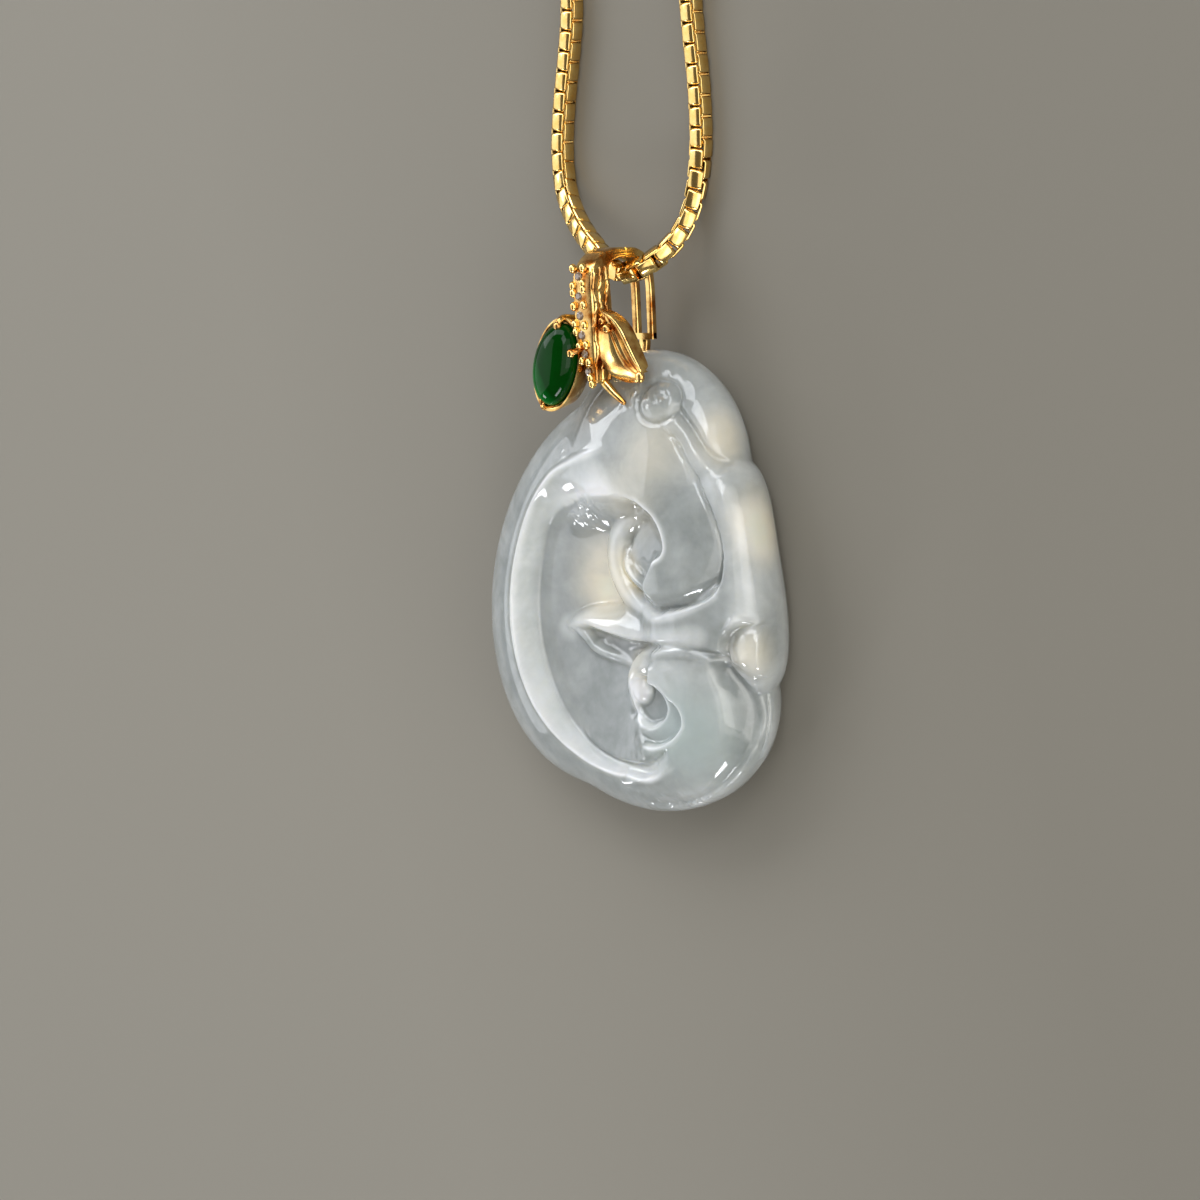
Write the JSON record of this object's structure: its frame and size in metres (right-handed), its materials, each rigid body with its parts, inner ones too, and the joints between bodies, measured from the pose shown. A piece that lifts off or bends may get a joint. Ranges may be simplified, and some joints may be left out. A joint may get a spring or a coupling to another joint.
{
  "type": "jade pendant",
  "caption": "Ruyi-head pendant carved from pale icy jade, with a gold bail set with a green oval cabochon and small diamonds, on a fine gold box chain.",
  "frame": {"origin": "on the pendant's flat back face, on the line through the middle of the bail, level with the middle of the carving", "axes": "+Z out of the carved front, +Y from the carving towards the bail, +X to the viewer's right when the front is seen with the bail up. The pendant lies on its back on z = 0."},
  "size_m": [0.0242, 0.0764, 0.0085],
  "materials": {
    "ice_jade": "carved jadeite, cloudy ice-white and grey-green, hand polished to a wet gloss",
    "yellow_gold": "cast 18 carat yellow gold, polished",
    "green_jade": "deep green jadeite cabochon, polished",
    "diamond": "round cut and polished"
  },
  "bodies": {
    "root": {"jade_carving": "ice_jade", "gold_bail": "yellow_gold", "green_cabochon": "green_jade", "diamond_1": "diamond", "diamond_2": "diamond", "diamond_3": "diamond", "diamond_4": "diamond", "diamond_5": "diamond", "diamond_6": "diamond", "chain_right": "yellow_gold", "chain_left": "yellow_gold", "chain_coil": "yellow_gold", "clasp": "yellow_gold"}
  },
  "joints": []
}
